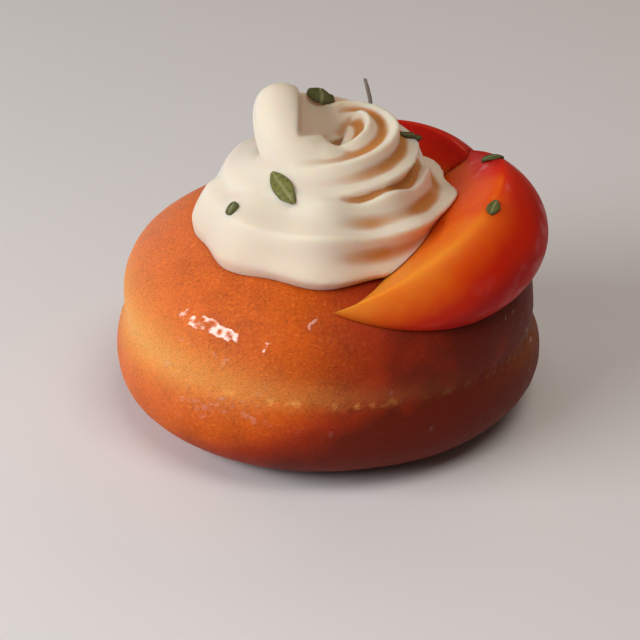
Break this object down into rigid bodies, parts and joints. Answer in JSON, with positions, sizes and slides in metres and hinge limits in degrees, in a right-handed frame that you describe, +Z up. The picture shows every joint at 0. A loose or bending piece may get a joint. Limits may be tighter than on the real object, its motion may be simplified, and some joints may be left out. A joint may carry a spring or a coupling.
{
  "type": "peach savarin",
  "caption": "Round soaked yeast bun topped with a piped cream rosette, peach wedges and thyme leaves.",
  "frame": {"origin": "middle of the bun's flat foot, on the surface it stands on", "axes": "+Z up, -Y towards the viewer of the picture, +X to that viewer's right"},
  "size_m": [0.0813, 0.0807, 0.0637],
  "materials": {
    "crust": "golden brown yeast crust, soaked and glazed with syrup",
    "cream": "ivory whipped cream, satin, with green thyme leaves",
    "peach": "wet poached peach flesh, orange to deep red"
  },
  "bodies": {
    "root": {"savarin_bun": "crust", "cream_rosette": "cream", "peach_front": "peach", "peach_back": "peach"}
  },
  "joints": []
}
